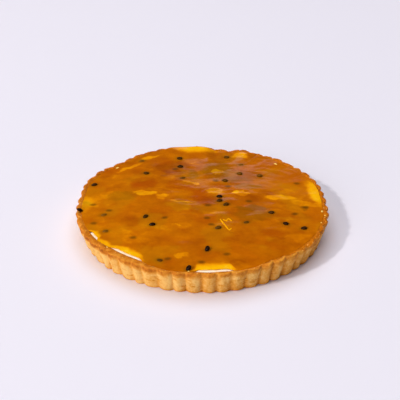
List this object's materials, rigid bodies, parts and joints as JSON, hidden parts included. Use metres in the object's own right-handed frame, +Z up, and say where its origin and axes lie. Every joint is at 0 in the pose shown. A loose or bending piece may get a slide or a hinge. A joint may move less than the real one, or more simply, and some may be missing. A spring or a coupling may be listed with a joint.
{
  "type": "fruit tart",
  "caption": "Round fruit tart: a low fluted pastry shell filled with white cream under orange passion fruit jelly with dark seeds.",
  "frame": {"origin": "middle of the flat underside of the pastry shell", "axes": "+Z up out of the filling, -Y the front of the tart, where the long strip of bare cream is"},
  "size_m": [0.239, 0.239, 0.0262],
  "materials": {
    "pastry": "matte",
    "cream": "satin",
    "jelly": "gloss"
  },
  "bodies": {
    "root": {"pastry_shell": "pastry", "cream": "cream", "fruit_jelly": "jelly"}
  },
  "joints": []
}
